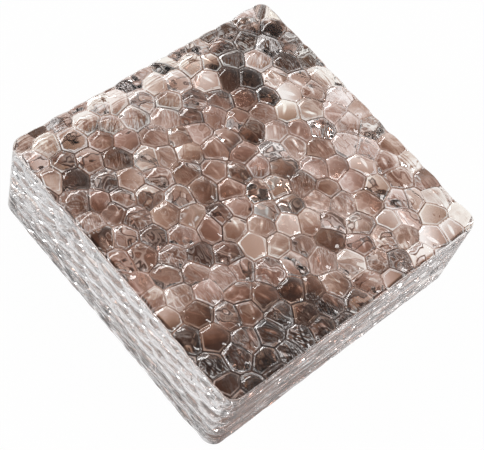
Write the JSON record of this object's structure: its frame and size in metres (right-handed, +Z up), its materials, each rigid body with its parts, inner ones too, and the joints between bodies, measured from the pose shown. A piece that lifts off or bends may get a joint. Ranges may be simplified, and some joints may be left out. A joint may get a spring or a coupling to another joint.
{
  "type": "solid glass block",
  "caption": "Solid square block of clear rose-brown tinged glass, pebbled in an irregular honeycomb of domes on both broad faces, with smooth sides for bonding into walls that let light through.",
  "frame": {"origin": "under the centre of the block, at the height of the floor it lies on", "axes": "+Z up through the thickness; X and Y along the two pairs of smooth sides"},
  "size_m": [0.15, 0.15, 0.05],
  "materials": {
    "glass": "clear cast glass, fire-polished, with a faint rose-brown tinge; pebbled broad faces, smooth sides"
  },
  "bodies": {
    "root": {"glass_block": "glass"}
  },
  "joints": []
}
